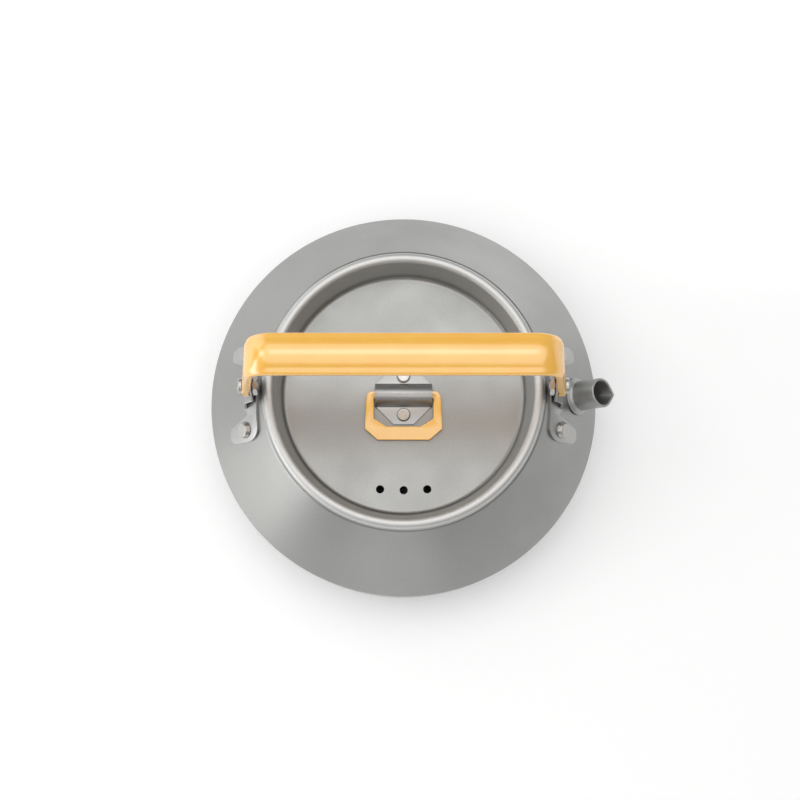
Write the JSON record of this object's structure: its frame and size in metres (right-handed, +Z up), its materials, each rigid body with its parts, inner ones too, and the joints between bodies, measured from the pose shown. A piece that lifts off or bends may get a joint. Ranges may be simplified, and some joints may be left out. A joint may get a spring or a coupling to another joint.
{
  "type": "camping teapot",
  "caption": "Squat stainless-steel camping teapot with a short spout, a folding bail handle and a recessed ring-pull lid.",
  "frame": {"origin": "middle of the flat underside, on the pot's axis", "axes": "+Z up along the pot's axis, +X towards the spout and along the handle's pivot axis, -Y towards the steam vents"},
  "size_m": [0.1819, 0.176, 0.128],
  "materials": {
    "satin_steel": "satin",
    "bright_steel": "semi-bright",
    "orange_coat": "satin"
  },
  "bodies": {
    "pot": {"lower_pan": "satin_steel", "shoulder": "satin_steel", "spout_tube": "satin_steel", "spout_collar": "satin_steel", "handle_bracket_left": "satin_steel", "handle_bracket_right": "satin_steel", "bracket_rivet_left_front": "bright_steel", "bracket_rivet_left_back": "bright_steel", "bracket_rivet_right_front": "bright_steel", "bracket_rivet_right_back": "bright_steel", "pivot_screw_left": "bright_steel", "pivot_screw_right": "bright_steel", "pivot_nut_left": "bright_steel", "pivot_nut_right": "bright_steel"},
    "handle": {"bail_handle": "orange_coat"},
    "lid": {"lid_pan": "satin_steel", "ring_saddle": "satin_steel", "lid_rivet_front": "bright_steel", "lid_rivet_back": "bright_steel"},
    "ring": {"lifting_ring": "orange_coat"}
  },
  "joints": [
    {"name": "handle_swing", "type": "hinge", "parent": "pot", "child": "handle", "pos_m": [0, 0, 0.0648], "axis": [1, 0, 0], "range_deg": [-82.5, 82.5]},
    {"name": "lid_lift", "type": "slide", "parent": "pot", "child": "lid", "axis": [0, 0, 1], "range_m": [0, 0.025]},
    {"name": "ring_swing", "type": "hinge", "parent": "lid", "child": "ring", "pos_m": [0, -0.001, 0.0512], "axis": [-1, 0, 0], "range_deg": [0, 170]}
  ]
}
